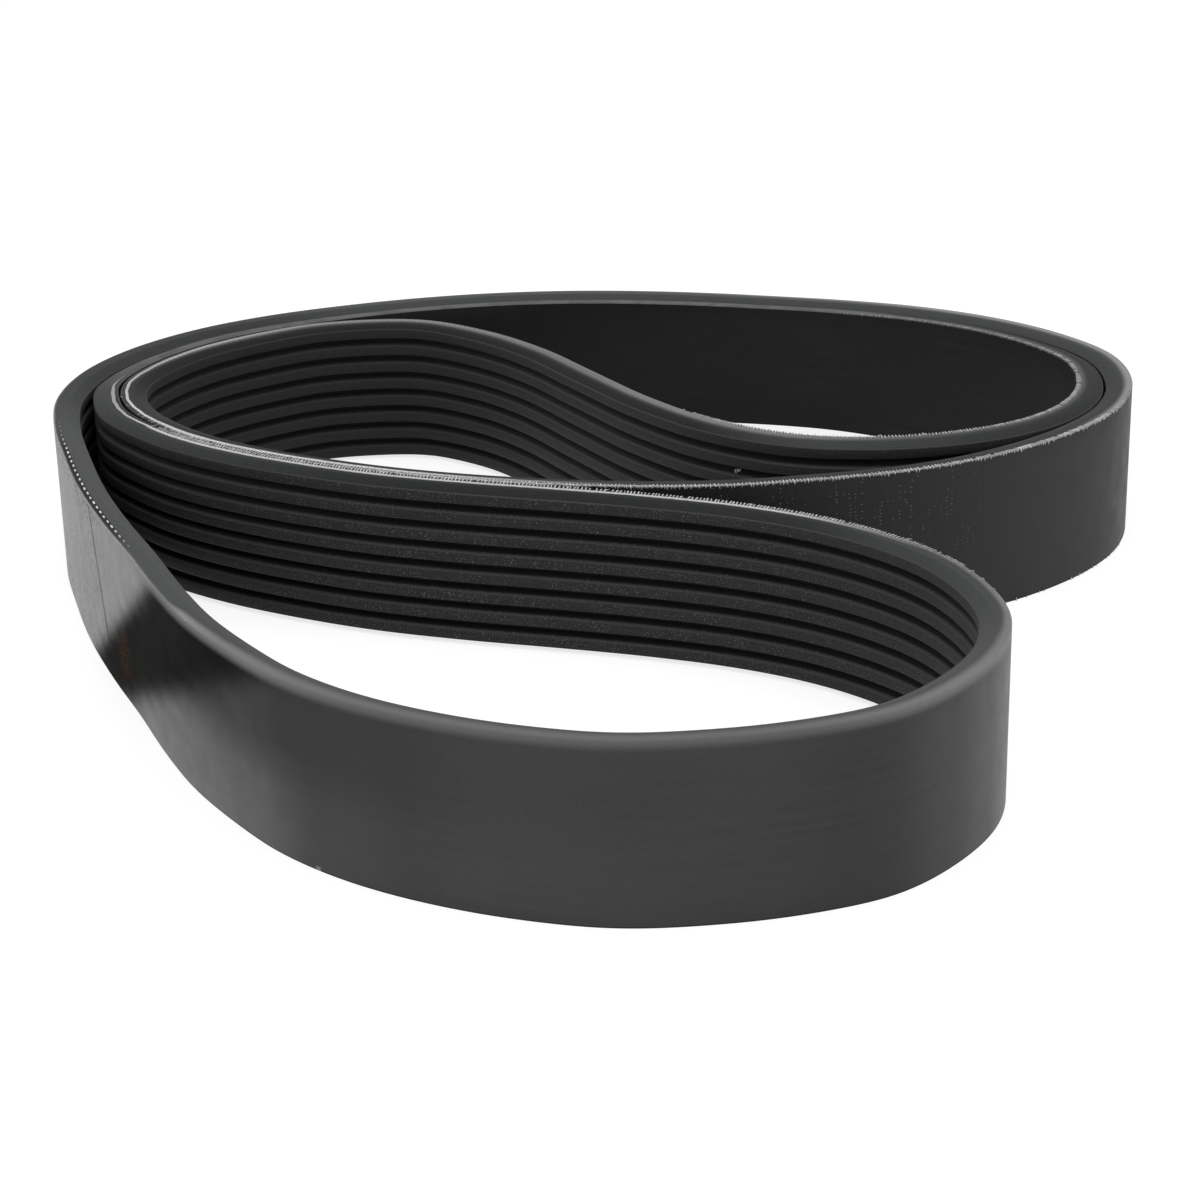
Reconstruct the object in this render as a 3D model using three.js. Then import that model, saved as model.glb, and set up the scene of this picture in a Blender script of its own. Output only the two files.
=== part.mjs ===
// Serpentine belt: one endless poly-V belt standing on its edge, folded on itself in a double loop.
// The rubber body, its ribs and its fabric back are moulded together, so the belt is one solid.
// Millimetres, +Z up. The origin is on the surface that the belt stands on, under the middle.
import * as THREE from 'three';

// Section of the belt
const ribCount = 8;
const ribPitch = 3.56;         // from the middle of one rib to the next
const ribDepth = 2.2;          // from a rib's crest down to the groove floor
const crestWidth = 1.8;        // flat top of a rib
const backThickness = 2.65;    // fabric, cords and rubber above the grooves
const strandGap = 0.5;         // clearance between two runs that lie side by side

// Steps of the swept body
const stationCount = 220;      // sections along the whole belt
const nestStep = 15;           // spacing of the guide points in the nested runs

// Lean of the two back runs: their lower edge stands further back than their upper edge
const leanMost = 11;
const leanMiddle = 38;         // x of the greatest lean
const leanReach = 85;          // the lean fades out this far to each side
const leanStart = 60;          // runs nearer than this y stand upright
const leanFull = 95;           // runs beyond this y lean fully

// Plan of the belt's middle line, as points chosen by hand along each run, [x, y]
// Second turn of the loop: right bend, back run, left bend, ribbed front run
const nestPoints = [
  [76.8, 18.2], [85.2, 25.9], [90.6, 35.3], [93.1, 46.2], [92.6, 57.8], [87.5, 69], [78.8, 79.7],
  [67, 88.7], [52.5, 95.3], [36.1, 100.4], [18.9, 104.8], [1.1, 107.5], [-16.8, 107.7],
  [-34.4, 105], [-51, 99.9], [-66, 93], [-78, 84], [-86.3, 73.7], [-91.1, 63.7], [-93.2, 54.4],
  [-92.1, 45.7], [-89.4, 37], [-83.9, 28.5], [-76.3, 19.7], [-65.9, 11.4], [-53.2, 3.8],
  [-39, -3], [-23.4, -8.4],
];
// Free front loop: down to the front bend and back along the smooth front run
const frontLoopPoints = [
  [-7.1, -13], [8.7, -17.8], [23, -23.4], [35.2, -30.4], [45, -38.9], [52.4, -48.7],
  [56.9, -59.8], [58.7, -71.8], [56.2, -84.4], [49.2, -96], [39.7, -105.1], [27.6, -110.1],
  [14.6, -112.7], [1.4, -113.1], [-11.7, -110], [-24.5, -104.6], [-36, -97.4], [-45.8, -88.4],
  [-53.8, -77.7], [-61.1, -65.9], [-67.4, -52.5], [-73.5, -37.6], [-80.4, -21.6], [-86.9, -4.6],
  [-92.3, 12.9], [-96.9, 30.3], [-99.1, 47.4],
];
// Smooth run from the right bend back towards the nest
const rightFrontPoints = [
  [93.7, 29.5], [85.5, 17.8], [75.2, 8.4], [63.5, 1], [50.8, -4.1], [37, -7.1], [22.7, -9.1],
  [8, -8.9], [-6.9, -6.9],
];
// S-shaped run through the middle of the loop
const crossPoints = [
  [-37, 93.5], [-24.1, 85.3], [-12.2, 71.6], [-1.8, 54.1], [8.9, 36.5], [21, 22.1], [34.9, 13.1],
  [50.1, 10.5], [64.7, 12.7],
];
// Stretches of the nest beside which another run lies, as shares of the nest's length
const outerFrom = 0.71;
const outerTo = 0.085;
const innerTo = 0.575;

// Sizes that follow
const beltWidth = ribCount * ribPitch;
const beltThickness = backThickness + ribDepth;
const strandSpacing = beltThickness + strandGap;
const flankRise = (ribPitch - crestWidth) / 2;

function curveThrough(points, closed) {
  const nodes = points.map(([x, y]) => new THREE.Vector3(x, y, 0));
  const curve = new THREE.CatmullRomCurve3(nodes, closed, 'centripetal');
  curve.arcLengthDivisions = 2000;
  return curve;
}

// Unit vector to the right of a curve's direction of travel
function rightOf(tangent) {
  return new THREE.Vector2(tangent.y, -tangent.x).normalize();
}

// Points beside the nest from one share of its length to another, moved sideways
function besideNest(nest, from, to, sideways) {
  const steps = Math.round(Math.abs(to - from) * nest.getLength() / nestStep);
  const points = [];
  for (let i = 0; i <= steps; i++) {
    const share = from + (to - from) * i / steps;
    const point = nest.getPointAt(share);
    const side = rightOf(nest.getTangentAt(share));
    points.push([point.x + side.x * sideways, point.y + side.y * sideways]);
  }
  return points;
}

// The whole middle line. The nest runs counterclockwise, so its right-hand side faces outwards.
function beltRoute() {
  const nest = curveThrough(nestPoints, false);
  return curveThrough([
    ...frontLoopPoints,
    ...besideNest(nest, outerFrom, outerTo, strandSpacing),
    ...rightFrontPoints,
    ...besideNest(nest, 1, innerTo, -strandSpacing),
    ...crossPoints,
    ...nestPoints,
  ], true);
}

// Outline of the section, [across, up]: smooth back at negative across, rib crests at positive
function beltSection() {
  const back = -beltThickness / 2;
  const crest = beltThickness / 2;
  const groove = crest - ribDepth;
  const outline = [[back, 0], [groove, 0]];
  for (let i = 0; i < ribCount; i++) {
    const low = i * ribPitch;
    const high = low + ribPitch;
    outline.push([crest, low + flankRise]);
    outline.push([crest, high - flankRise]);
    outline.push([groove, high]);
  }
  outline.push([back, beltWidth]);
  return outline;
}

// How far the lower edge stands behind the upper edge at a place on the plan
function leanAt(x, y) {
  const across = Math.min(1, Math.abs(x - leanMiddle) / leanReach);
  const deep = THREE.MathUtils.smoothstep(y, leanStart, leanFull);
  return leanMost * deep * Math.cos(across * Math.PI / 2) ** 2;
}

function beltGeometry() {
  const route = beltRoute();
  const section = beltSection();
  const positions = [];
  for (let i = 0; i < stationCount; i++) {
    const share = i / stationCount;
    const point = route.getPointAt(share);
    const side = rightOf(route.getTangentAt(share));
    for (const [across, up] of section) {
      const x = point.x + side.x * across;
      const y = point.y + side.y * across;
      positions.push(x, y + leanAt(x, y) * (1 - up / beltWidth), up);
    }
  }
  const index = [];
  const count = section.length;
  for (let i = 0; i < stationCount; i++) {
    const here = i * count;
    const next = ((i + 1) % stationCount) * count;
    for (let j = 0; j < count; j++) {
      const k = (j + 1) % count;
      index.push(here + j, next + k, here + k);
      index.push(here + j, next + j, next + k);
    }
  }
  const geometry = new THREE.BufferGeometry();
  geometry.setAttribute('position', new THREE.Float32BufferAttribute(positions, 3));
  geometry.setIndex(index);
  geometry.computeBoundingBox();
  const middle = geometry.boundingBox.getCenter(new THREE.Vector3());
  geometry.translate(-middle.x, -middle.y, 0);
  geometry.computeVertexNormals();
  return geometry;
}

const rubber = new THREE.MeshStandardMaterial({ color: 0x262728, roughness: 0.62, metalness: 0 });
const belt = new THREE.Mesh(beltGeometry(), rubber);
belt.name = 'serpentine_belt';

const part = new THREE.Group();
part.add(belt);
export default part;
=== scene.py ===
# Looks of the folded multi-rib belt: fine body, pale cord, frayed fabric ends, studio and camera.
import math
import random

import bmesh
import bpy
import numpy as np
from mathutils import Matrix, Vector


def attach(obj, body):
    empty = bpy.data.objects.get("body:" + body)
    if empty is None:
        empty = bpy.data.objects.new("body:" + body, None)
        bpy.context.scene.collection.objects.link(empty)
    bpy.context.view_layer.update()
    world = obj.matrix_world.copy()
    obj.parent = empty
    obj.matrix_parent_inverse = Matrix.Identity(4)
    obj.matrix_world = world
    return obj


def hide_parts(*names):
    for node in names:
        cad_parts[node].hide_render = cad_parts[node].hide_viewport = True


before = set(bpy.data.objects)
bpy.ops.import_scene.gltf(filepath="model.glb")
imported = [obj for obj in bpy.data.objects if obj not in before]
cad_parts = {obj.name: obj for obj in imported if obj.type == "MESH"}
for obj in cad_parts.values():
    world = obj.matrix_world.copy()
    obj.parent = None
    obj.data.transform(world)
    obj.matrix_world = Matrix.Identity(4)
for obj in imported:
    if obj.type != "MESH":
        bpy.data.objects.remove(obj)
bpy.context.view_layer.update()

MM = 0.001
NODE = "serpentine_belt"

# Section of the belt in millimetres, the same values as the solid
RIB_COUNT = 8
RIB_PITCH = 3.56
RIB_DEPTH = 2.2
CREST_WIDTH = 1.8
BACK_THICKNESS = 2.65
WIDTH = RIB_COUNT * RIB_PITCH
THICKNESS = BACK_THICKNESS + RIB_DEPTH
BACK = -THICKNESS / 2
CREST = THICKNESS / 2
GROOVE = CREST - RIB_DEPTH
FLANK_RISE = (RIB_PITCH - CREST_WIDTH) / 2

# Fine shape
CREST_ROUND = 0.3
GROOVE_ROUND = 0.22
EDGE_ROUND = 0.12          # where the cut edges meet the back
END_ROUND = 0.25           # where the cut edges meet the first and the last rib
ROUND_STEPS = 2
EDGE_POINTS = (0.6, 1.6)   # further points on the cut edges, in from the back face
BACK_STEPS = 8
CREST_HIGHLIGHT = 0.775       # upper corner of each crest, where a painted highlight lies, as a share of the pitch
BACK_DEPTH = 0.03          # faces no deeper than this below the back face are the back
STATIONS = 1000

# Reading the middle line from the solid
BACK_NORMAL = 0.65         # a face beside a cut edge is the back if its normal rises less
LEAN_WEIGHT = (200, 1)     # the runs lean in y alone, so the edges are matched by their x
LINE_STEPS = 12001

# Cut edge: how far in from the back face the cord shows, and the spacing of the thread ends
CORD_INSET = 1.1
CORD_RADIUS = 0.16
CORD_PITCH = 2.6
THREAD_PITCH = 0.64
THREAD_SIDES = 5
TURN_SIDES = 7
LEAST_CORD = 0.04          # no single turn is made where the cord shows less than this
LINE_SIDES = 6
LINE_STEP = 0.42
LINE_TAPER = 12

# Places on the belt. Distances along it, in millimetres, start at its farthest point and run
# to the right bend first.
CORD_SPANS = ((262, 512), (868, 1058))     # the cord lies bare
CORD_TURNS = (1262, 1362)                  # single turns of the cord show
NESTED = ((300, 440), (870, 1060))         # another run lies close beside
# Stray fibres: a stretch, and how many stand on it
HAIRS = (((176, 380), 16), ((905, 1060), 10), ((520, 690), 8), ((1170, 1345), 2))
NUB = ((548.8, 21.6), (549.3, 21.9))       # curls of a small nub on a rib: along, up
CHIP = 1214.0                              # small pale chip low on the front run
JOINT = 1296.0                             # joint line of the fabric, at the lower edge
JOINT_SLANT = 10                           # how much further along it is at the upper edge
BACK_HIGHLIGHT = (1020, 1050)                    # the painted highlight along the back's top sets in here
BACK_HIGHLIGHT_END = (1300, 1400)                # and fades out here
FILM_SHEEN_FROM = 1200                           # the pale film with its painted sheen past this has a slanted end
FILM_SHEEN_START = 1303                          # that end, at the height below
FILM_SHEEN_START_HEIGHT = 5
FILM_SHEEN_SLANT = 1.59                          # this much back for each millimetre up
SPOT_START = 1293                          # slanted end of the rubbed spot, at the lower edge
SPOT_SLANT = 2.4
BROWN = (1288, 8)                          # middle of the brown tint: along, up
BROWN_REACH = 5

# Camera, worked out from the outline of the fold, in millimetres and radians
CAMERA_HEIGHT = 184.08
CAMERA_PITCH = 0.3745
CAMERA_ROLL = 0.0211
CAMERA_FOCUS = 2800.3 / 1200
PLAN_SHIFT = (0.2335, -462.86)
SENSOR = 36

# Studio. The floor and the surroundings look brighter than the light that they give.
FLOOR_HALF = 4.0
FLOOR_LIGHT = 0.8
FLOOR_SEEN = 0.42
FLOOR_GLOW = 0.78
WORLD_LIGHT = 0.35
LAMP_TARGET = (0, 0, 0.01)
# Name, place, size and power of each lamp
LAMPS = (
    ("lamp_top", (0.1, -0.1, 1.1), 1.2, 6.0),
    ("lamp_left", (-0.9, -0.3, 0.6), 0.8, 1.8),
    ("lamp_right", (0.9, -0.5, 0.6), 0.8, 1.2),
)


def chained(edges):
    """Orders loose edges (pairs of vertices) into one closed list of vertices."""
    near = {}
    for a, b in edges:
        near.setdefault(a, []).append(b)
        near.setdefault(b, []).append(a)
    start = next(iter(near))
    line, before, here = [start], None, start
    while True:
        after = [v for v in near[here] if v is not before]
        if not after or after[0] is start:
            return line
        before, here = here, after[0]
        line.append(here)


def cut_edge_lines(level):
    """The back line and the groove line of the flat cut edge at a height, from the solid."""
    bm = bmesh.new()
    bm.from_mesh(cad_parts[NODE].data)
    bmesh.ops.remove_doubles(bm, verts=bm.verts, dist=1e-6)
    bm.normal_update()
    flat = {f for f in bm.faces if all(abs(v.co.z - level) < 1e-5 for v in f.verts)}
    back, groove = [], []
    for e in bm.edges:
        beside = [f for f in e.link_faces if f not in flat]
        if len(beside) == 1 and len(e.link_faces) == 2:
            line = back if abs(beside[0].normal.z) < BACK_NORMAL else groove
            line.append(tuple(e.verts))
    lines = [np.array([v.co[:2] for v in chained(line)]) / MM for line in (back, groove)]
    bm.free()
    return lines


def nearest(points, targets, weight=(1, 1)):
    """The target nearest to each point, with x and y weighted."""
    difference = (points[:, None] - targets[None]) * np.array(weight)
    return targets[(difference ** 2).sum(2).argmin(1)]


def closed_spline(points, shares):
    """Periodic cubic spline through points: returns a function giving value and slope."""
    n = len(points)
    step = np.diff(np.append(shares, shares[0] + 1))
    system = np.zeros((n, n))
    right = np.zeros_like(points)
    for i in range(n):
        h0, h1 = step[i - 1], step[i]
        system[i, i - 1] += h0
        system[i, i] += 2 * (h0 + h1)
        system[i, (i + 1) % n] += h1
        ahead = (points[(i + 1) % n] - points[i]) / h1
        behind = (points[i] - points[i - 1]) / h0
        right[i] = 6 * (ahead - behind)
    bend = np.linalg.solve(system, right)

    def at(u):
        u = np.mod(u - shares[0], 1) + shares[0]
        i = np.searchsorted(shares, u, side="right") - 1
        j = (i + 1) % n
        h = step[i][:, None]
        b = (u - shares[i])[:, None] / h
        a = 1 - b
        value = a * points[i] + b * points[j]
        value += ((a ** 3 - a) * bend[i] + (b ** 3 - b) * bend[j]) * h * h / 6
        slope = (points[j] - points[i]) / h
        slope += ((3 * b * b - 1) * bend[j] - (3 * a * a - 1) * bend[i]) * h / 6
        return value, slope

    return at


class Route:
    """Middle line of the belt, measured along its length in millimetres."""

    def __init__(self):
        top = WIDTH * MM
        back, groove = cut_edge_lines(top)
        groove = nearest(back, groove)
        low_back, low_groove = cut_edge_lines(0)
        lean_back = nearest(back, low_back, LEAN_WEIGHT)[:, 1] - back[:, 1]
        lean_groove = nearest(groove, low_groove, LEAN_WEIGHT)[:, 1] - groove[:, 1]
        side = groove - back
        side /= np.linalg.norm(side, axis=1)[:, None]
        middle = back - side * BACK
        travel = np.roll(middle, -1, 0) - middle
        if (travel[:, 1] * side[:, 0] - travel[:, 0] * side[:, 1]).sum() < 0:
            middle, lean_back, lean_groove = middle[::-1], lean_back[::-1], lean_groove[::-1]
        first = middle[:, 1].argmax()
        data = np.column_stack([middle, lean_back, lean_groove])
        data = np.roll(data, -first, 0)
        chord = np.linalg.norm(np.roll(data[:, :2], -1, 0) - data[:, :2], axis=1)
        shares = np.append(0, np.cumsum(chord))[:-1] / chord.sum()
        self.curve = closed_spline(data, shares)
        self.fine = np.linspace(0, 1, LINE_STEPS)
        points = self.curve(self.fine)[0][:, :2]
        run = np.linalg.norm(np.diff(points, axis=0), axis=1)
        self.run = np.append(0, np.cumsum(run))
        self.length = self.run[-1]

    def frames(self, along):
        """Points, unit vectors to the rib side, and leans, at distances along the belt."""
        u = np.interp(np.mod(along, self.length), self.run, self.fine)
        value, slope = self.curve(u)
        side = np.column_stack([slope[:, 1], -slope[:, 0]])
        side /= np.linalg.norm(side, axis=1)[:, None]
        return value[:, :2], side, value[:, 2], value[:, 3]

    def place(self, along, across, up):
        """Positions in metres of points given by their distance along, across and up."""
        along, across, up = np.broadcast_arrays(along, across, up)
        middle, side, lean_back, lean_groove = self.frames(along)
        lean = lean_back + (lean_groove - lean_back) * (across - BACK) / BACK_THICKNESS
        xy = middle + side * across[:, None]
        y = xy[:, 1] + lean * (1 - np.clip(up / WIDTH, 0, 1))
        return np.column_stack([xy[:, 0], y, up]) * MM

    def place_path(self, path):
        """Positions of a list of (along, across, up) points."""
        return self.place(*np.array(path).T)


def rounded(before, corner, after, radius):
    """Points of a small arc in place of a corner."""
    corner = np.array(corner, float)
    d0 = np.array(before) - corner
    d1 = np.array(after) - corner
    d0 /= np.linalg.norm(d0)
    d1 /= np.linalg.norm(d1)
    half = math.acos(np.clip(d0 @ d1, -1, 1)) / 2
    reach = radius / math.tan(half)
    centre = corner + (d0 + d1) / np.linalg.norm(d0 + d1) * radius / math.sin(half)
    start = corner + d0 * reach - centre
    end = corner + d1 * reach - centre
    a0 = math.atan2(start[1], start[0])
    turn = math.atan2(start[0] * end[1] - start[1] * end[0], start @ end)
    angles = [a0 + turn * i / ROUND_STEPS for i in range(ROUND_STEPS + 1)]
    return [tuple(centre + radius * np.array([math.cos(a), math.sin(a)])) for a in angles]


def fine_section():
    """Outline of the section with rounded corners, as (across, up), from the back's low corner."""
    corners = [(BACK, 0.0, EDGE_ROUND), (GROOVE, 0.0, END_ROUND)]
    for i in range(RIB_COUNT):
        low = i * RIB_PITCH
        high = low + RIB_PITCH
        corners.append((CREST, low + FLANK_RISE, CREST_ROUND))
        corners.append((CREST, high - FLANK_RISE, CREST_ROUND))
        if i < RIB_COUNT - 1:
            corners.append((GROOVE, high, GROOVE_ROUND))
    corners += [(GROOVE, WIDTH, END_ROUND), (BACK, WIDTH, EDGE_ROUND)]
    outline = []
    for i, (a, u, radius) in enumerate(corners):
        before, after = corners[i - 1][:2], corners[(i + 1) % len(corners)][:2]
        outline += rounded(before, (a, u), after, radius)
        if i == 0:
            outline += [(BACK + inset, 0.0) for inset in EDGE_POINTS]
        if i == len(corners) - 2:
            outline += [(BACK + inset, WIDTH) for inset in reversed(EDGE_POINTS)]
    outline += [(BACK, WIDTH * (1 - k / BACK_STEPS)) for k in range(1, BACK_STEPS)]
    return outline


def part_of_section(a0, u0, a1, u1):
    """0 for the back, 1 for the cut edges with the end flanks, 2 for the ribs."""
    across, up = (a0 + a1) / 2, (u0 + u1) / 2
    if across < BACK + BACK_DEPTH:
        return 0
    outer = FLANK_RISE - CREST_ROUND * 0.4
    if up < outer or up > WIDTH - outer:
        return 1
    return 2


def new_object(name, verts, faces, materials):
    """Smooth-shaded piece that belongs to the belt's body."""
    mesh = bpy.data.meshes.new(name)
    mesh.from_pydata([tuple(v) for v in verts], [], faces)
    mesh.update()
    obj = bpy.data.objects.new(name, mesh)
    bpy.context.scene.collection.objects.link(obj)
    for m in materials:
        mesh.materials.append(m)
    mesh.polygons.foreach_set("use_smooth", [True] * len(mesh.polygons))
    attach(obj, "root")
    return obj


def float_attribute(mesh, name, values):
    """Stores one number for each vertex, for the materials to read."""
    attribute = mesh.attributes.new(name, "FLOAT", "POINT")
    attribute.data.foreach_set("value", np.asarray(values, np.float32))


def belt_body(route, materials):
    """The belt itself: the fine section swept along the middle line."""
    section = fine_section()
    count = len(section)
    across = np.array([p[0] for p in section])
    up = np.array([p[1] for p in section])
    along = np.arange(STATIONS) * route.length / STATIONS
    s, a = np.repeat(along, count), np.tile(across, STATIONS)
    u = np.tile(up, STATIONS)
    verts = route.place(s, a, u)
    faces, slots = [], []
    kinds = [part_of_section(*section[j], *section[(j + 1) % count]) for j in range(count)]
    for i in range(STATIONS):
        here, after = i * count, (i + 1) % STATIONS * count
        for j in range(count):
            k = (j + 1) % count
            faces.append((here + j, after + j, after + k, here + k))
            slots.append(kinds[j])
    body = new_object("belt_body", verts, faces, materials)
    mesh = body.data
    mesh.polygons.foreach_set("material_index", slots)
    float_attribute(mesh, "along", s)
    float_attribute(mesh, "across", a)
    float_attribute(mesh, "up", u)
    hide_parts(NODE)
    return body


def ramp(s, points):
    """Value at distances along the belt, eased between (distance, value) points."""
    places = np.array([p[0] for p in points], float)
    values = np.array([p[1] for p in points], float)
    i = np.clip(np.searchsorted(places, s, side="right") - 1, 0, len(places) - 2)
    t = np.clip((s - places[i]) / (places[i + 1] - places[i]), 0, 1)
    t = t * t * (3 - 2 * t)
    return values[i] + (values[i + 1] - values[i]) * t


def at(s, points):
    """The same value at one distance."""
    return float(ramp(np.array([s]), points)[0])


# How the belt changes along its length, as (distance, value) points
# Cut edges: fraying threads, threads lying open, bare cord and its half width, painted shade,
# fading
FRAY = [(0, 0), (142, 0), (165, 1), (338, 1), (354, 0.1), (372, 0), (525, 0), (545, 0.85),
        (600, 0.85), (640, 0.5), (690, 0.25), (715, 0), (903, 0), (917, 1), (1038, 1),
        (1052, 0.6), (1074, 0.35), (1082, 0), (1500, 0)]
OPEN = [(0, 0.5), (165, 0.5), (225, 0.6), (262, 1), (290, 1), (318, 0), (520, 0),
        (545, 0.25), (600, 0.3), (640, 0.55), (690, 0.5), (720, 0), (1500, 0)]
CORD = [(0, 0), (250, 0), (300, 1), (360, 1), (390, 0.6), (440, 0.35), (520, 0.08), (545, 0),
        (590, 0), (690, 0), (860, 0.2), (885, 0.5), (915, 0.95), (1030, 1), (1052, 0.25),
        (1062, 0), (1280, 0), (1296, 1), (1336, 1), (1348, 0.1), (1360, 0), (1500, 0)]
BAND = [(0, 0.2), (280, 0.25), (310, 0.45), (370, 0.45), (395, 0.6), (450, 0.55), (500, 0.3),
        (860, 0.3), (880, 0.6), (905, 0.45), (945, 0.24), (1040, 0.22), (1500, 0.25)]
EDGE_LIGHT = [(0, 1), (60, 1), (100, 0.96), (150, 0.74), (172, 0.7), (250, 0.6), (330, 0.5),
             (372, 0.6), (420, 0.6), (560, 0.95), (610, 0.6), (690, 0.5), (720, 0.85),
             (870, 0.85), (905, 0.7), (980, 0.45), (1030, 0.5), (1060, 0.85), (1110, 1),
             (1345, 1), (1385, 0.72), (1420, 0.75), (1460, 1), (1500, 1)]
FADE = [(0, 0), (365, 0), (400, 1), (530, 1), (565, 0.1), (600, 0), (1500, 0)]
# Painted highlight, a soft light line where the cut edge meets the back: its strength, and how far
# it reaches
RIM_HIGHLIGHT = [(0, 0.1), (50, 0.5), (85, 0.9), (125, 1), (152, 1), (175, 0), (372, 0.1),
            (410, 0.65), (540, 0.6), (590, 0.3), (640, 0.35), (690, 0.5), (720, 0.3),
            (850, 0.3), (890, 0), (1020, 0), (1045, 0.6), (1110, 0.55), (1150, 0.32),
            (1200, 0.35), (1236, 0.55), (1250, 0.78), (1257, 0.5), (1276, 0.45), (1286, 0),
            (1500, 0.1)]
HIGHLIGHT_REACH = [(0, 1.4), (45, 1.6), (80, 2.5), (135, 2.1), (160, 1.8), (372, 2), (420, 4),
             (540, 3.6), (590, 2), (690, 2.4), (720, 7.5), (850, 7.5), (890, 1.5),
             (1030, 1.4), (1060, 1.3), (1085, 1.4), (1105, 2.6), (1170, 3), (1225, 3),
             (1240, 2.2), (1250, 1.8), (1257, 0.7), (1286, 0.7), (1500, 1.4)]
# Back: pale film with painted sheen, the same low on the front run, dark specks in it, woven dots,
# painted shade and light of each run
FILM_SHEEN = [(0, 0), (1064, 0), (1082, 0.24), (1092, 0.4), (1100, 0.36), (1108, 0.2),
        (1118, 0.06), (1130, 0), (1200, 0), (1250, 0.5), (1268, 0.72), (1290, 0.88),
        (1325, 0.9), (1345, 1), (1380, 0.7), (1425, 0), (1500, 0)]
LOW_FILM_SHEEN = [(0, 0), (1140, 0), (1190, 0.05), (1212, 0.12), (1228, 0.38), (1245, 0.52),
            (1275, 0.52), (1290, 0.2), (1300, 0), (1500, 0)]
SPECKS = [(0, 0), (1295, 0.1), (1306, 0.8), (1500, 0.8)]
WEAVE = [(0, 0), (190, 0), (203, 0.9), (215, 1), (250, 1), (268, 0.5), (290, 0), (1500, 0)]
RUN_LIGHT = [(0, 0.55), (100, 0.65), (175, 0.68), (215, 0.46), (255, 0.1), (285, 0), (420, 0),
        (520, 0), (700, 0.16), (850, 0.16), (880, 0), (1060, 0.5), (1100, 0.85), (1120, 0.95),
        (1134, 0.85), (1148, 1), (1185, 1), (1202, 0.75), (1222, 0.5), (1240, 0.35),
        (1495, 0.55), (1500, 0.55)]
# Ribs: pale fibres, strength of the painted shade in the grooves, painted shade on the crests
FIBRES = [(0, 0.6), (300, 0.5), (420, 0.2), (500, 0.15), (560, 0.3), (880, 0.25), (930, 0.55),
          (970, 0.95), (1030, 0.8), (1052, 0.35), (1110, 0.3), (1500, 0.6)]
GROOVE_SHADE = [(0, 0.96), (360, 0.96), (395, 0.35), (500, 0.3), (560, 0.8), (700, 0.96), (1500, 0.96)]
CREST_LIGHT = [(0, 1), (350, 0.8), (385, 0.3), (430, 0.35), (490, 0.8), (560, 0.8), (700, 1),
              (860, 0.4), (910, 0.45), (985, 1), (1500, 1)]


def tube(points, radii, sides, verts, faces):
    """Adds a closed tube through points to lists of vertices and faces."""
    start = len(verts)
    for i, p in enumerate(points):
        a, b = points[max(i - 1, 0)], points[min(i + 1, len(points) - 1)]
        ahead = (b - a) / np.linalg.norm(b - a)
        other = np.array([0.3, 0.2, 1.0]) if abs(ahead[2]) < 0.8 else np.array([1.0, 0.3, 0.1])
        e0 = np.cross(ahead, other)
        e0 /= np.linalg.norm(e0)
        e1 = np.cross(ahead, e0)
        for k in range(sides):
            t = 2 * math.pi * k / sides
            verts.append(p + (e0 * math.cos(t) + e1 * math.sin(t)) * radii[i])
    for i in range(len(points) - 1):
        for k in range(sides):
            a, b = start + i * sides + k, start + i * sides + (k + 1) % sides
            faces.append((a, b, b + sides, a + sides))
    faces.append(tuple(start + k for k in reversed(range(sides))))
    last = start + (len(points) - 1) * sides
    faces.append(tuple(last + k for k in range(sides)))


def thread_ends(route, material):
    """Cut ends of the fabric's threads, standing out of both edges beside the back."""
    rng = random.Random(7)
    verts, faces, shades = [], [], []
    for level, out in ((WIDTH, 1), (0.0, -1)):
        s = 0.0
        while s < route.length - 0.4:
            s += THREAD_PITCH * rng.uniform(0.86, 1.14)
            amount = at(s, FRAY)
            if rng.random() > min(1, amount * 1.8) * (0.97 if out > 0 else 0.35):
                continue
            nested = any(start < s < end for start, end in NESTED)
            reach = rng.uniform(0.12, 0.26) if nested else rng.uniform(0.1, 0.3)
            reach *= 0.4 + 0.6 * amount
            droop = rng.uniform(0.0, 0.1) if nested else rng.uniform(0.0, 0.5) * amount
            slip = rng.uniform(-0.16, 0.16)
            a0 = BACK + rng.uniform(0.35, 0.6)
            path = [
                (s - slip * 0.4, a0 + 0.35, level - out * 0.06),
                (s, a0, level + out * 0.05),
                (s + slip * 0.3, BACK + 0.12, level + out * 0.09),
                (s + slip * 0.6, BACK - reach * 0.6, level + out * 0.05),
                (s + slip, BACK - reach * 0.9, level - out * (0.08 + droop * 0.5)),
                (s + slip * 1.4, BACK - reach * 0.7, level - out * (0.14 + droop)),
            ]
            r = rng.uniform(0.075, 0.12) * (0.6 + 0.45 * amount) * MM
            radii = [r * 0.8, r, r * 1.1, r * 1.1, r * 0.9, r * 0.4]
            tube(route.place_path(path), radii, THREAD_SIDES, verts, faces)
            shade = rng.uniform(0.62, 1.0) * (0.5 + 0.5 * amount)
            shades += [shade] * (len(path) * THREAD_SIDES)
    piece = new_object("thread_ends", verts, faces, [material])
    float_attribute(piece.data, "shade", shades)
    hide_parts(NODE)


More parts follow.
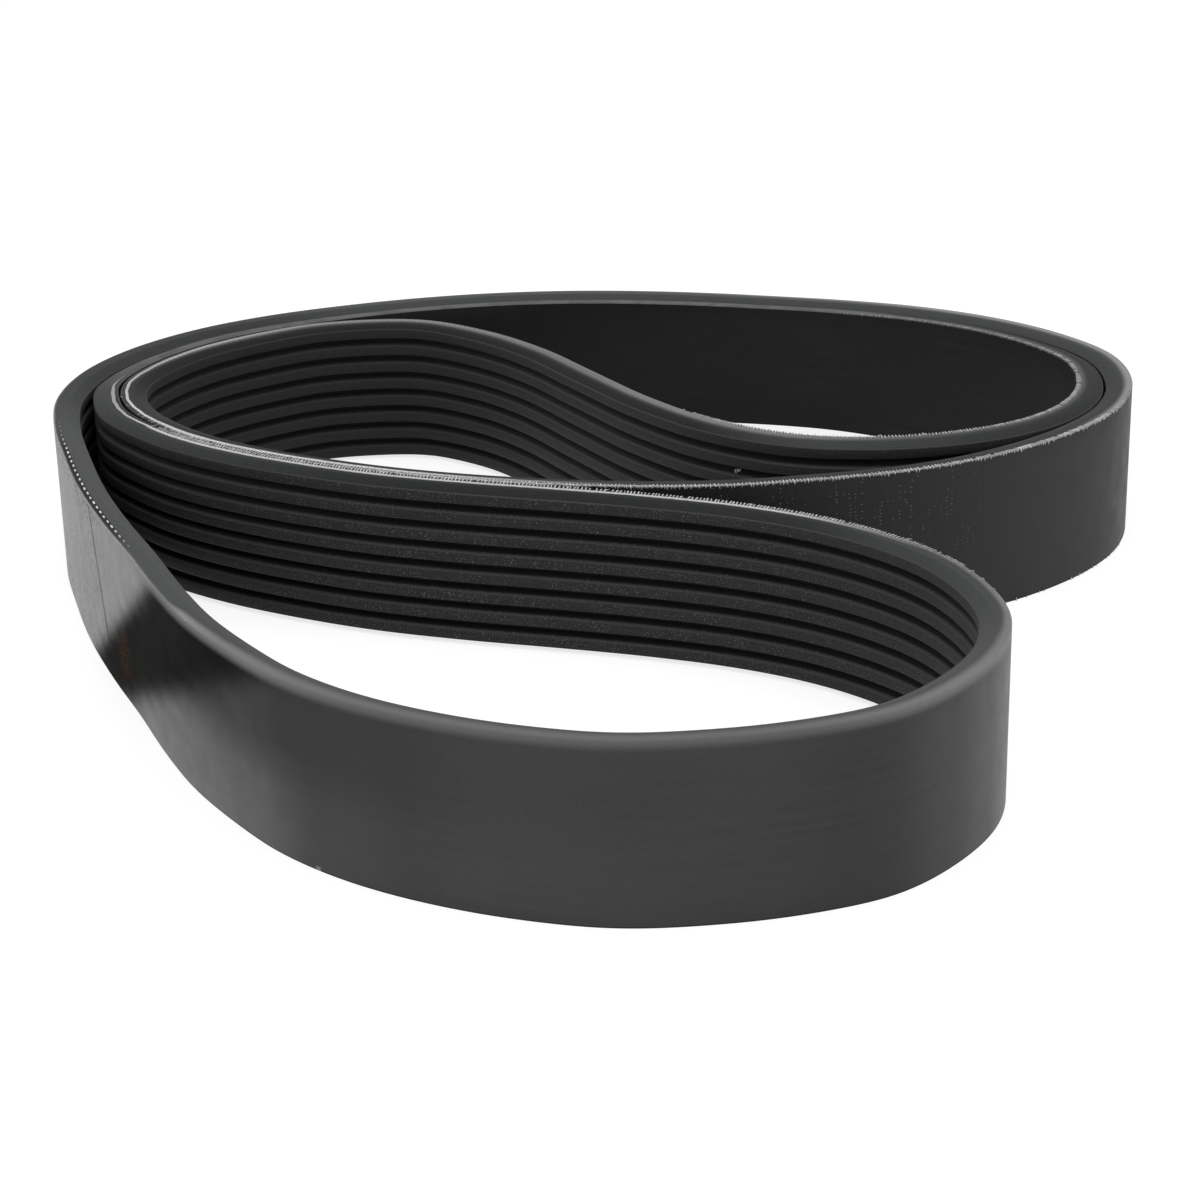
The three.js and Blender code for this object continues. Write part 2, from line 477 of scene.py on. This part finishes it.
def cord_line(route, material):
    """The load cord laid bare along both cut edges: a spun line, and single turns at the left."""
    rng = random.Random(11)
    verts, faces, shades = [], [], []
    steps = np.array([-1, -0.85, -0.45, 0, 0.45, 0.85, 1])
    for level, out in ((WIDTH, 1), (0.0, -1)):
        count = round(route.length / CORD_PITCH)
        for i in range(count):
            s = i * route.length / count
            gain = at(s, CORD)
            if gain < LEAST_CORD or not CORD_TURNS[0] < s < CORD_TURNS[1]:
                continue
            half = CORD_PITCH * 0.33 * rng.uniform(0.9, 1.1)
            width = CORD_RADIUS * 1.3 * rng.uniform(0.9, 1.1)
            a = BACK + CORD_INSET + rng.uniform(-0.04, 0.04)
            size = np.sqrt(np.maximum(1 - steps ** 2, 0.03)) * width * MM
            points = route.place(s + steps * half, a + 0.07 * steps,
                                 level - out * width * 0.45)
            tube(points, size, TURN_SIDES, verts, faces)
            shades += [gain * rng.uniform(0.85, 1.0)] * (len(steps) * TURN_SIDES)
        for start, end in CORD_SPANS:
            s = np.arange(start, end, LINE_STEP)
            taper = np.clip(np.minimum(s - start, end - s) / LINE_TAPER, 0.05, 1)
            gain, half = ramp(s, CORD), ramp(s, BAND) * taper
            wave = 0.05 * np.sin(s / 1.9) + 0.04 * np.sin(s / 0.83 + 1)
            thick = half * (0.88 + 0.15 * np.sin(s * 2 * math.pi / 1.3))
            a = BACK + CORD_INSET + wave
            points = route.place(s, a, level - out * thick * 0.62)
            tube(points, thick * MM, LINE_SIDES, verts, faces)
            shades += list(np.repeat(gain * (0.85 + 0.15 * np.sin(s * 4.83)), LINE_SIDES))
    piece = new_object("cord_line", verts, faces, [material])
    float_attribute(piece.data, "shade", shades)
    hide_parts(NODE)


def loose_hairs(route, material):
    """A few long stray fibres on the upper edge, and a small nub on a rib."""
    rng = random.Random(23)
    verts, faces = [], []
    spots = [rng.uniform(*span) for span, count in HAIRS for _ in range(count)]
    for s in spots:
        length = rng.uniform(0.5, 1.5)
        lean, curl = rng.uniform(-0.8, 0.8), rng.uniform(-0.7, 0.7)
        path = []
        for k in range(6):
            t = k / 5
            path.append((s + length * (lean * t + curl * t * t),
                         BACK + 0.25 - 0.5 * t * rng.uniform(0.6, 1.0),
                         WIDTH - 0.05 + length * (0.55 * t - 0.3 * t * t)))
        tube(route.place_path(path), [0.05 * MM] * 5 + [0.02 * MM], 4, verts, faces)
    pale = len(verts)
    for s, u in NUB:
        path = []
        for k in range(7):
            turn = 0.75 * k + s
            path.append((s + 0.28 * math.cos(turn), CREST - 0.1 + 0.4 * math.sin(math.pi * k / 6),
                         u + 0.22 * math.sin(turn)))
        tube(route.place_path(path), [0.1 * MM] * 6 + [0.05 * MM], 5, verts, faces)
    piece = new_object("loose_hairs", verts, faces, [material])
    shades = [0.7] * pale + [0.42] * (len(verts) - pale)
    float_attribute(piece.data, "shade", shades)
    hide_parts(NODE)


class Shader:
    """Short way to write the nodes of a material or of the world."""

    def __init__(self, owner):
        self.owner = owner
        owner.use_nodes = True
        self.tree = owner.node_tree
        self.tree.nodes.clear()

    def node(self, kind, *values):
        """New node with its first inputs filled."""
        made = self.tree.nodes.new("ShaderNode" + kind)
        for socket, value in zip(made.inputs, values):
            self.put(socket, value)
        return made

    def put(self, socket, value):
        """Links a socket to another one or sets its value. A number for a colour is a grey."""
        if isinstance(value, bpy.types.NodeSocket):
            self.tree.links.new(value, socket)
        elif value is not None:
            if socket.type == "RGBA" and isinstance(value, (int, float)):
                value = (value, value, value, 1)
            elif socket.type == "RGBA" and len(value) == 3:
                value = (*value, 1)
            socket.default_value = value

    def math(self, operation, a, b=None, c=None, clamp=False):
        made = self.node("Math", a, b, c)
        made.operation = operation
        made.use_clamp = clamp
        return made.outputs[0]

    def attribute(self, name):
        made = self.node("Attribute")
        made.attribute_name = name
        return made.outputs["Fac"]

    def map(self, value, low, high, to_low=0.0, to_high=1.0, smooth=True):
        made = self.node("MapRange", value, low, high, to_low, to_high)
        made.interpolation_type = "SMOOTHSTEP" if smooth else "LINEAR"
        return made.outputs[0]

    def mix(self, share, a, b):
        made = self.node("Mix")
        made.data_type = "RGBA"
        self.put(made.inputs["Factor"], share)
        self.put(made.inputs[6], a)
        self.put(made.inputs[7], b)
        return made.outputs[2]

    def noise(self, vector, scale, detail=2.0, roughness=0.5):
        made = self.node("TexNoise", vector)
        made.inputs["Scale"].default_value = scale
        made.inputs["Detail"].default_value = detail
        made.inputs["Roughness"].default_value = roughness
        return made.outputs["Fac"]

    def flat_cells(self, vector):
        """Cells in a plane, one to each unit."""
        made = self.node("TexVoronoi", vector)
        made.voronoi_dimensions = "2D"
        made.inputs["Scale"].default_value = 1.0
        return made

    def combine(self, x, y, z=0.0):
        return self.node("CombineXYZ", x, y, z).outputs[0]

    def place(self):
        """Position on the object in millimetres."""
        made = self.node("VectorMath", self.node("TexCoord").outputs["Object"])
        made.operation = "SCALE"
        made.inputs["Scale"].default_value = 1 / MM
        return made.outputs[0]

    def bump(self, height, distance):
        made = self.node("Bump")
        made.inputs["Distance"].default_value = distance * MM
        self.put(made.inputs["Height"], height)
        return made.outputs[0]

    def finish(self, colour, roughness, normal, specular, **others):
        """Closes the material with one surface shader and returns it."""
        made = self.node("BsdfPrincipled")
        self.put(made.inputs["Base Color"], colour)
        self.put(made.inputs["Roughness"], roughness)
        self.put(made.inputs["Normal"], normal)
        made.inputs["Specular IOR Level"].default_value = specular
        for key, value in others.items():
            made.inputs[key.replace("_", " ")].default_value = value
        self.node("OutputMaterial", made.outputs[0])
        return self.owner


def back_material():
    """Plain back: smooth rubber with a woven print, a pale film with a painted sheen on the left,
    a painted highlight along the top, painted shade and light on each run, and a rubbed spot.
    """
    m = Shader(bpy.data.materials.new("belt_back"))
    place = m.place()
    along, up = m.attribute("along"), m.attribute("up")
    film_sheen, weave, spot = m.attribute("film_sheen"), m.attribute("weave"), m.attribute("spot")
    mottle = m.noise(place, 0.05, 3)
    cloud = m.noise(place, 0.3, 3)
    grain = m.noise(place, 2.6, 3, 0.6)
    streak = m.noise(m.combine(m.math("MULTIPLY", along, 0.04), m.math("MULTIPLY", up, 0.8)),
                     1.0, 3)
    # Painted shade and light: how light the back is made on each run, set to the light that falls
    # there
    colour = m.mix(m.attribute("run_light"), (0.0086, 0.0085, 0.0076), (0.08, 0.08, 0.08))
    worn = m.math("MULTIPLY", m.map(mottle, 0.35, 0.7), m.map(streak, 0.35, 0.7))
    colour = m.mix(m.math("MULTIPLY", worn, 0.25), colour, 0.045)
    colour = m.mix(m.map(grain, 0.35, 0.8, 0, 0.25), colour, 0.04)

    lattice = m.combine(m.math("DIVIDE", along, 1.1), m.math("DIVIDE", up, 0.66))
    cells = m.flat_cells(lattice)
    cells.inputs["Randomness"].default_value = 0.35
    dot = m.map(cells.outputs["Distance"], 0.07, 0.21, 1, 0)
    column = m.noise(m.combine(m.math("DIVIDE", along, 2.4), m.math("DIVIDE", up, 9.0)), 1.0, 2)
    pick = m.math("MULTIPLY", m.map(column, 0.5, 0.58),
                  m.math("GREATER_THAN", m.flat_cells(lattice).outputs["Color"], 0.42))
    dot = m.math("MULTIPLY", m.math("MULTIPLY", dot, pick), weave)
    colour = m.mix(m.math("MULTIPLY", dot, 0.6), colour, 0.27)

    # Pale film on the left end, partly a painted sheen, with dark specks in it
    wide = m.combine(m.math("MULTIPLY", along, 0.55), m.math("MULTIPLY", up, 1.5))
    speck = m.flat_cells(wide)
    dark = m.math("MULTIPLY", m.map(speck.outputs["Distance"], 0.2, 0.46, 1, 0),
                  m.math("GREATER_THAN", speck.outputs["Color"], 0.45))
    near_edge = m.map(up, WIDTH - 3.5, WIDTH - 0.5)
    dark = m.math("MULTIPLY", dark, m.math("MULTIPLY_ADD", near_edge, 0.6, 0.4))
    pale = m.mix(m.map(cloud, 0.3, 0.7), 0.345, 0.39)
    pale = m.mix(m.math("MULTIPLY", dark, m.attribute("specks")), pale, 0.09)
    colour = m.mix(film_sheen, colour, pale)

    line = m.math("SUBTRACT", along, m.math("MULTIPLY_ADD", up, JOINT_SLANT / WIDTH, JOINT))
    line = m.math("ADD", line, m.math("MULTIPLY_ADD", m.noise(place, 1.2, 2), 0.8, -0.4))
    joint = m.map(m.math("ABSOLUTE", line), 0.35, 0.85, 1, 0)
    colour = m.mix(m.math("MULTIPLY", joint, 0.75), colour, (0.05, 0.052, 0.06))

    stain = m.math("ADD", spot, m.math("MULTIPLY_ADD", m.noise(place, 0.9, 4, 0.6), 0.3, -0.15))
    stain = m.math("MULTIPLY", m.map(stain, 0.05, 0.95), m.map(spot, 0.0, 0.08))
    colour = m.mix(stain, colour, (0.0046, 0.0044, 0.0042))
    flecks = m.map(m.noise(place, 1.6, 4, 0.7), 0.38, 0.62)
    flecks = m.math("MULTIPLY", m.attribute("brown"), flecks)
    colour = m.mix(m.map(flecks, 0.05, 0.9, 0, 0.85), colour, (0.062, 0.03, 0.012))

    # Painted highlight along the top edge of the back
    rim_sheen = m.math("MULTIPLY", m.attribute("rim_highlight"), m.map(along, *BACK_HIGHLIGHT, 0, 1.9), clamp=True)
    rim_sheen = m.math("MULTIPLY", rim_sheen, m.map(along, *BACK_HIGHLIGHT_END, 1, 0))
    rim_sheen = m.math("MULTIPLY", rim_sheen, m.map(up, WIDTH - 1.9, WIDTH - 0.1))
    colour = m.mix(m.math("MULTIPLY", rim_sheen, 0.9), colour, 0.26)
    colour = m.mix(m.map(up, 0.05, 0.35, 0.8, 0), colour, 0.004)
    chip = m.map(m.math("ABSOLUTE", m.math("SUBTRACT", along, CHIP)), 0.2, 0.7, 1, 0)
    chip = m.math("MULTIPLY", chip, m.map(up, 0.5, 0.9, 1, 0))
    colour = m.mix(m.math("MULTIPLY", chip, 0.8), colour, 0.4)

    fringe = m.math("MULTIPLY_ADD", m.noise(place, 2.4, 3), 1.3, -0.25)
    fringe = m.math("ADD", up, m.math("MULTIPLY", fringe, 0.6))
    fringe = m.math("MULTIPLY", m.map(fringe, WIDTH - 0.12, WIDTH + 0.12), m.attribute("fray"))
    colour = m.mix(m.math("MULTIPLY", fringe, 0.5), colour, 0.8)

    roughness = m.map(m.noise(place, 0.25, 3), 0.3, 0.7, 0.42, 0.52, smooth=False)
    roughness = m.math("ADD", roughness, m.math("MULTIPLY", spot, 0.55), clamp=True)
    height = m.math("ADD", m.math("MULTIPLY", grain, 0.5), m.math("MULTIPLY", dot, 0.8))
    height = m.math("SUBTRACT", height, m.math("MULTIPLY", joint, 1.2))
    height = m.math("SUBTRACT", height, m.math("MULTIPLY", m.math("MULTIPLY", dark, film_sheen), 0.6))
    return m.finish(colour, roughness, m.bump(height, 0.03), 0.08)


def edge_material():
    """Cut edge: ground rubber, a dark fabric layer at the back, painted shade in a channel beside
    the cord and darker in places, the film's painted sheen and a painted highlight near the back.
    """
    m = Shader(bpy.data.materials.new("belt_cut_edge"))
    place = m.place()
    across = m.attribute("across")
    cord, fray, film_sheen = m.attribute("cord"), m.attribute("fray"), m.attribute("film_sheen")
    grain = m.noise(place, 3.2, 3, 0.65)
    scratch = m.noise(m.combine(m.math("MULTIPLY", m.attribute("along"), 0.35),
                                m.math("MULTIPLY", across, 4.5)), 1.0, 2)
    inset = m.math("SUBTRACT", across, BACK)
    wander = m.math("MULTIPLY_ADD", m.noise(place, 0.9, 2), 0.3, -0.15)
    inset_rough = m.math("ADD", inset, wander)
    colour = m.mix(m.map(grain, 0.25, 0.75), (0.015, 0.0168, 0.0163), (0.033, 0.0365, 0.0358))
    colour = m.mix(m.map(scratch, 0.4, 0.7, 0, 0.4), colour, 0.048)
    # Painted shade: the cut edge is darker in places, most where other runs lie close
    colour = m.mix(m.attribute("edge_light"), (0.004, 0.004, 0.004), colour)
    # Painted shade in the channel beside the cord, which the bump also sinks
    offset = m.math("ABSOLUTE", m.math("SUBTRACT", inset, CORD_INSET - 0.2))
    channel_shade = m.math("MULTIPLY", m.map(offset, 0.3, 0.62, 1, 0), cord)
    channel_shade = m.math("MULTIPLY", channel_shade, m.math("SUBTRACT", 1.0, fray))
    colour = m.mix(m.math("MULTIPLY", channel_shade, 0.85), colour, (0.009, 0.0085, 0.012))
    open_run = m.attribute("open_run")
    fabric = m.math("MULTIPLY", m.map(inset_rough, 0.7, 0.95, 1, 0), fray)
    fabric = m.math("MULTIPLY", fabric, m.math("SUBTRACT", 1.0, open_run))
    colour = m.mix(m.math("MULTIPLY", fabric, 0.9), colour, 0.004)
    cord_share = m.math("MULTIPLY", cord, m.map(fray, 0.0, 0.3))
    worn = m.map(m.math("ABSOLUTE", m.math("SUBTRACT", inset_rough, CORD_INSET)), 0.2, 0.65, 1, 0)
    colour = m.mix(m.math("MULTIPLY", worn, cord_share), colour, 0.55)
    cut = m.math("MULTIPLY", m.map(inset_rough, 0.22, 0.5, 1, 0), open_run)
    cut = m.math("MULTIPLY", m.math("MULTIPLY", cut, fray), m.map(grain, 0.3, 0.5, 0.35, 1))
    colour = m.mix(m.math("MULTIPLY", cut, 0.9), colour, 0.8)
    # The pale film and its painted sheen reach the rim beside the back
    rim_sheen = m.math("MULTIPLY", m.map(inset_rough, 0.14, 0.4, 1, 0), m.math("MULTIPLY", film_sheen, 0.9))
    colour = m.mix(rim_sheen, colour, 0.4)
    # Painted highlight: a soft light band in from the back, with blotches where it reaches far
    reach = m.attribute("highlight_reach")
    soft_highlight = m.map(inset, m.math("MULTIPLY", reach, 0.35), reach, 1, 0)
    soft_highlight = m.math("MULTIPLY", soft_highlight, m.attribute("rim_highlight"))
    blobs = m.math("MULTIPLY", m.map(m.noise(place, 0.26, 1), 0.36, 0.62, 0.45, 0.0),
                   m.map(reach, 4.5, 7))
    soft_highlight = m.math("MULTIPLY", soft_highlight, m.math("SUBTRACT", 1.0, blobs))
    colour = m.mix(soft_highlight, colour, 0.3)
    faded = m.math("MULTIPLY", m.map(inset, 1.3, 3.4), m.attribute("fade"))
    colour = m.mix(m.math("MULTIPLY", faded, 0.8), colour, 0.008)
    height = m.math("ADD", m.math("MULTIPLY", grain, 0.6), m.math("MULTIPLY", scratch, 0.5))
    height = m.math("SUBTRACT", height, m.math("MULTIPLY", channel_shade, 1.0))
    dark = m.math("SUBTRACT", 1.0, m.attribute("edge_light"))
    dull = m.math("ADD", m.math("MAXIMUM", channel_shade, fabric), m.math("MULTIPLY", dark, 1.6))
    dull = m.math("ADD", dull, faded)
    roughness = m.math("ADD", m.map(grain, 0.3, 0.7, 0.55, 0.7, smooth=False),
                       m.math("MULTIPLY", dull, 0.4), clamp=True)
    return m.finish(colour, roughness, m.bump(height, 0.05), 0.35)


def rib_material():
    """Ribs: dull ground rubber with short pale fibres, painted shade down in the grooves and on
    some crests, and a painted highlight on each crest's upper corner.
    """
    m = Shader(bpy.data.materials.new("belt_ribs"))
    place = m.place()
    across, up, along = m.attribute("across"), m.attribute("up"), m.attribute("along")
    grain = m.noise(place, 3.0, 3, 0.65)
    streak = m.noise(m.combine(m.math("MULTIPLY", along, 0.12), m.math("MULTIPLY", up, 3.0),
                               m.math("MULTIPLY", across, 3.0)), 1.0, 2)
    colour = m.mix(m.map(grain, 0.25, 0.75), (0.0125, 0.0118, 0.0113), (0.033, 0.0312, 0.03))
    colour = m.mix(m.map(streak, 0.45, 0.7, 0, 0.5), colour, 0.032)

    bend = m.math("MULTIPLY_ADD", m.noise(place, 1.1), 1.6, -0.8)
    lying = m.combine(m.math("MULTIPLY", m.math("ADD", along, bend), 0.9),
                      m.math("MULTIPLY", m.math("ADD", up, bend), 2.2))
    upright = m.combine(m.math("MULTIPLY", m.math("SUBTRACT", along, bend), 2.4),
                        m.math("MULTIPLY", m.math("ADD", up, bend), 1.1))
    dots = m.combine(m.math("MULTIPLY", along, 2.0), m.math("MULTIPLY", up, 2.0))
    tips = None
    for where, size, few, gain in ((lying, 0.15, 0.55, 1.0), (upright, 0.15, 0.6, 0.9),
                                   (dots, 0.2, 0.5, 0.9)):
        cell = m.flat_cells(where)
        one = m.map(cell.outputs["Distance"], size * 0.55, size, gain, 0)
        one = m.math("MULTIPLY", one, m.math("GREATER_THAN", cell.outputs["Color"], few))
        tips = one if tips is None else m.math("MAXIMUM", tips, one)
    patch = m.map(m.noise(place, 0.3, 2), 0.38, 0.6)
    tips = m.math("MULTIPLY", tips, m.math("MULTIPLY_ADD", patch, 0.75, 0.25))
    tips = m.math("MULTIPLY", tips, m.attribute("fibres"))
    colour = m.mix(m.math("MULTIPLY", tips, 0.85), colour, 0.22)

    # Painted highlight along the upper corner of each crest
    turn = m.math("FRACT", m.math("DIVIDE", up, RIB_PITCH))
    corner = m.math("ABSOLUTE", m.math("SUBTRACT", turn, CREST_HIGHLIGHT))
    corner = m.map(corner, 0.02, 0.07, 1, 0)
    corner = m.math("MULTIPLY", corner, m.map(across, CREST - 0.7, CREST - 0.35))
    colour = m.mix(m.math("MULTIPLY", corner, 0.75), colour, 0.06)
    # Painted shade on the crests where another run lies close
    colour = m.mix(m.attribute("crest_light"), (0.009, 0.009, 0.009), colour)
    # Painted shade down in the grooves
    groove_shade = m.math("MULTIPLY", m.map(across, CREST - 0.78, CREST - 0.58, 1, 0), m.attribute("groove_shade"))
    colour = m.mix(groove_shade, colour, (0.0008, 0.001, 0.0014))
    height = m.math("ADD", m.math("MULTIPLY", grain, 0.8), m.math("MULTIPLY", tips, 0.8))
    height = m.math("ADD", height, m.math("MULTIPLY", streak, 0.4))
    roughness = m.map(grain, 0.3, 0.7, 0.62, 0.8, smooth=False)
    return m.finish(colour, roughness, m.bump(height, 0.05), 0.3)


def thread_material(name, dark, light):
    """White spun thread, greyed by rubber dust according to its shade."""
    m = Shader(bpy.data.materials.new(name))
    place = m.place()
    fuzz = m.noise(place, 5.0, 2)
    colour = m.mix(m.attribute("shade"), dark, light)
    colour = m.mix(m.map(fuzz, 0.3, 0.7, 0, 0.15), colour, dark)
    return m.finish(colour, 0.85, m.bump(fuzz, 0.03), 0.3, Sheen_Weight=0.2)


def zones(body):
    """Stores how frayed, filmed, woven and stained the belt is at each vertex, and its painted
    sheen, highlights, shade and light.
    """
    mesh = body.data
    s = np.zeros(len(mesh.vertices), np.float32)
    u = np.zeros_like(s)
    mesh.attributes["along"].data.foreach_get("value", s)
    mesh.attributes["up"].data.foreach_get("value", u)
    for name, points in (("fray", FRAY), ("cord", CORD), ("run_light", RUN_LIGHT), ("fibres", FIBRES),
                         ("rim_highlight", RIM_HIGHLIGHT), ("groove_shade", GROOVE_SHADE), ("crest_light", CREST_LIGHT),
                         ("highlight_reach", HIGHLIGHT_REACH), ("edge_light", EDGE_LIGHT), ("open_run", OPEN),
                         ("fade", FADE), ("specks", SPECKS)):
        float_attribute(mesh, name, ramp(s, points))
    float_attribute(mesh, "weave", ramp(s, WEAVE) * ramp(u, [(-1, 0), (7, 0), (15, 1), (40, 1)]))
    # Pale film with painted sheen, with a slanted end, and the same low on the front run
    film_sheen_end = s - (FILM_SHEEN_START - FILM_SHEEN_SLANT * (u - FILM_SHEEN_START_HEIGHT))
    film_sheen = ramp(s, FILM_SHEEN) * np.where(s > FILM_SHEEN_FROM, ramp(film_sheen_end, [(-6, 0), (5, 1)]), 1)
    spot_end = s - (SPOT_START - SPOT_SLANT * u)
    spot = ramp(film_sheen_end, [(-7, 1), (4, 0)]) * ramp(spot_end, [(-12, 0), (5, 1)])
    spot *= ramp(u, [(0, 1), (14, 1), (24, 0.85)])
    low = ramp(s, LOW_FILM_SHEEN) * ramp(u, [(1, 1), (8, 0.8), (19, 0)]) * (1 - spot)
    float_attribute(mesh, "film_sheen", np.maximum(film_sheen, low))
    float_attribute(mesh, "spot", spot)
    from_middle = ((s - BROWN[0]) / BROWN_REACH) ** 2 + ((u - BROWN[1]) / BROWN_REACH) ** 2
    float_attribute(mesh, "brown", np.exp(-from_middle))


def seen_rays(m):
    """1 for rays that show a surface, 0 for rays that only bring light."""
    path = m.node("LightPath")
    seen = m.math("MAXIMUM", path.outputs["Is Camera Ray"], path.outputs["Is Glossy Ray"])
    return m.math("MAXIMUM", seen, path.outputs["Is Transmission Ray"])


def stage():
    """White floor that keeps the shadow, white surroundings and plain soft lamps."""
    m = Shader(bpy.data.materials.new("floor_white"))
    plain = m.node("BsdfDiffuse", FLOOR_LIGHT)
    faint = m.node("BsdfDiffuse", FLOOR_SEEN)
    glow = m.node("Emission", 1.0, FLOOR_GLOW)
    bright = m.node("AddShader", faint.outputs[0], glow.outputs[0])
    both = m.node("MixShader", seen_rays(m), plain.outputs[0], bright.outputs[0])
    m.node("OutputMaterial", both.outputs[0])
    half = FLOOR_HALF
    verts = [(-half, -half, 0), (half, -half, 0), (half, half, 0), (-half, half, 0)]
    mesh = bpy.data.meshes.new("floor")
    mesh.from_pydata(verts, [], [(0, 1, 2, 3)])
    mesh.materials.append(m.owner)
    floor = bpy.data.objects.new("floor", mesh)
    bpy.context.scene.collection.objects.link(floor)

    world = bpy.data.worlds.new("studio")
    bpy.context.scene.world = world
    w = Shader(world)
    dim = w.node("Background", 1.0, WORLD_LIGHT)
    white = w.node("Background", 1.0)
    both = w.node("MixShader", seen_rays(w), dim.outputs[0], white.outputs[0])
    w.node("OutputWorld", both.outputs[0])

    for name, place, size, power in LAMPS:
        lamp = bpy.data.lights.new(name, "AREA")
        lamp.size = size
        lamp.energy = power
        obj = bpy.data.objects.new(name, lamp)
        obj.location = place
        aim = Vector(LAMP_TARGET) - Vector(place)
        obj.rotation_euler = aim.to_track_quat("-Z", "Y").to_euler()
        bpy.context.scene.collection.objects.link(obj)


def camera():
    """Camera low in front of the belt, turned down a little and leaning by one degree."""
    p, r = CAMERA_PITCH, CAMERA_ROLL
    ahead = Vector((0, math.cos(p), -math.sin(p)))
    right, down = Vector((1, 0, 0)), Vector((0, -math.sin(p), -math.cos(p)))
    x_axis = right * math.cos(r) + down * math.sin(r)
    y_axis = right * math.sin(r) - down * math.cos(r)
    view = Matrix((x_axis, y_axis, -ahead)).transposed().to_4x4()
    view.translation = Vector((PLAN_SHIFT[0], PLAN_SHIFT[1], CAMERA_HEIGHT)) * MM
    data = bpy.data.cameras.new("camera")
    data.sensor_width = SENSOR
    data.lens = CAMERA_FOCUS * SENSOR
    data.clip_start = 0.01
    obj = bpy.data.objects.new("camera", data)
    obj.matrix_world = view
    bpy.context.scene.collection.objects.link(obj)
    bpy.context.scene.camera = obj


camera()
stage()
route = Route()
body = belt_body(route, [back_material(), edge_material(), rib_material()])
zones(body)
thread = thread_material("fabric_thread", 0.07, 0.93)
cord = thread_material("cord_thread", 0.06, 0.95)
thread_ends(route, thread)
cord_line(route, cord)
loose_hairs(route, thread)

bpy.context.scene.view_settings.view_transform = "Standard"
